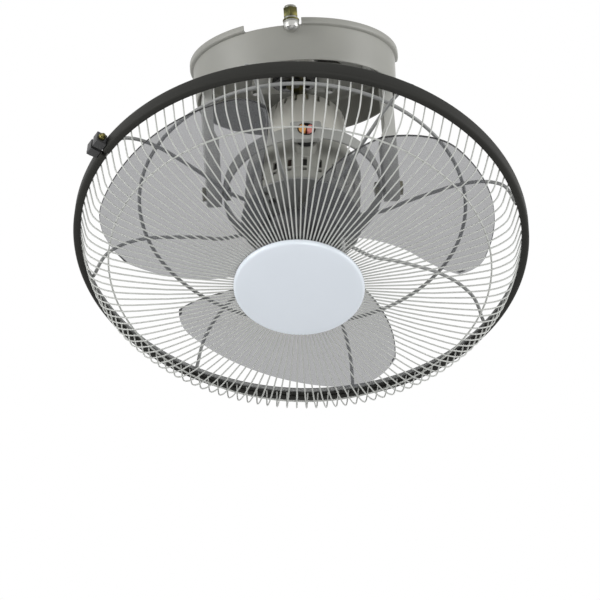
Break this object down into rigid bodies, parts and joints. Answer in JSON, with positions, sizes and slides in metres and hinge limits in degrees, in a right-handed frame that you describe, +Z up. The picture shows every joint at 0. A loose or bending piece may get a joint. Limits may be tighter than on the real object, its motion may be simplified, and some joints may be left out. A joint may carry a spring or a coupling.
{
  "type": "orbital ceiling fan",
  "caption": "Ceiling fan in a round wire guard that hangs in a gimbal under a drum canopy and is led round in a tilted orbit.",
  "frame": {"origin": "centre of the ceiling bracket's top face, in the middle of its ceiling screws", "axes": "+Z up towards the ceiling, +X to the right and -Y towards the viewer of the pictured side"},
  "size_m": [0.4678, 0.4242, 0.3638],
  "materials": {
    "canopy_paint": "satin warm grey paint",
    "zinc_plate": "dull zinc plate",
    "yellow_zinc": "yellow passivated zinc",
    "bright_steel": "bright nickel",
    "arm_paint": "satin warm grey paint",
    "ring_paint": "satin warm grey paint",
    "housing_paint": "satin grey paint over cast aluminium",
    "cover_plastic": "moulded pale grey",
    "white_nylon": "natural nylon",
    "steel": "turned steel",
    "lamination": "stacked steel sheet",
    "copper": "varnished copper wire",
    "capacitor_case": "moulded case",
    "lead_sleeve": "insulated lead ends",
    "guard_wire_dark": "grey powder coat",
    "guard_wire_pale": "pale powder coat",
    "rim_plastic": "charcoal",
    "clamp_plastic": "black",
    "cap_plastic": "bluish white",
    "smoke_resin": "clear smoke grey",
    "hub_plastic": "grey",
    "black_plastic": "black"
  },
  "bodies": {
    "mount": {"ceiling_bracket": "zinc_plate", "canopy_drum": "canopy_paint", "lock_bolts": "bright_steel", "lock_washers": "yellow_zinc", "lock_springs": "zinc_plate", "lock_nuts": "yellow_zinc", "left_arm": "arm_paint", "right_arm": "arm_paint", "arm_screws": "steel", "arm_bushes": "white_nylon", "drive_plate": "zinc_plate", "drive_posts": "steel", "orbit_motor": "bright_steel", "terminal_block": "white_nylon"},
    "pinion": {"drive_pinion": "steel"},
    "crank": {"crank_gear": "black_plastic", "crank_shaft": "steel", "crank_arm": "yellow_zinc", "crank_ball": "bright_steel"},
    "ring": {"gimbal_ring": "ring_paint", "ring_pivot_pins": "yellow_zinc", "ring_pivot_nuts": "yellow_zinc", "head_bushes": "white_nylon"},
    "head": {"motor_rear_housing": "housing_paint", "motor_front_housing": "housing_paint", "housing_screws": "steel", "stator": "lamination", "stator_windings": "copper", "rear_bearing": "steel", "front_bearing": "steel", "head_pivot_pins": "black_plastic", "rear_cover": "cover_plastic", "socket_post": "steel", "ball_socket": "white_nylon", "capacitor": "capacitor_case", "motor_leads": "lead_sleeve", "guard_plate": "guard_wire_dark", "guard_screws": "steel", "rear_spokes": "guard_wire_dark", "rear_ring": "guard_wire_dark", "rear_outer_ring": "guard_wire_dark", "rim_band": "rim_plastic", "rim_clamp": "clamp_plastic", "clamp_screw": "yellow_zinc", "front_outer_ring": "guard_wire_pale", "front_wires": "guard_wire_pale", "front_middle_ring": "guard_wire_pale", "front_hub_plate": "guard_wire_pale", "centre_cap": "cap_plastic"},
    "rotor": {"fan_shaft": "steel", "rotor_core": "lamination", "blade_hub": "hub_plastic", "blades": "smoke_resin", "hub_clamp": "black_plastic", "spinner_nut": "black_plastic"}
  },
  "joints": [
    {"name": "orbit_crank", "type": "hinge", "parent": "mount", "child": "crank", "pos_m": [0, 0, -0.16], "axis": [0, 0, 1], "continuous": true},
    {"name": "orbit_pinion", "type": "hinge", "parent": "mount", "child": "pinion", "pos_m": [0, -0.03, -0.16], "axis": [0, 0, 1], "continuous": true},
    {"name": "ring_tilt", "type": "hinge", "parent": "mount", "child": "ring", "pos_m": [0, 0, -0.16], "axis": [1, 0, 0], "range_deg": [-0.82, 55.18]},
    {"name": "head_tilt", "type": "hinge", "parent": "ring", "child": "head", "pos_m": [0, 0, -0.16], "axis": [0, 0.8895, -0.4569], "range_deg": [-34.98, 21.02]},
    {"name": "fan_spin", "type": "hinge", "parent": "head", "child": "rotor", "pos_m": [0, 0, -0.16], "axis": [0.1215, 0.4535, 0.8829], "continuous": true}
  ],
  "couplings": [
    {"joint": "orbit_pinion", "follows": "orbit_crank", "ratio": -4}
  ]
}
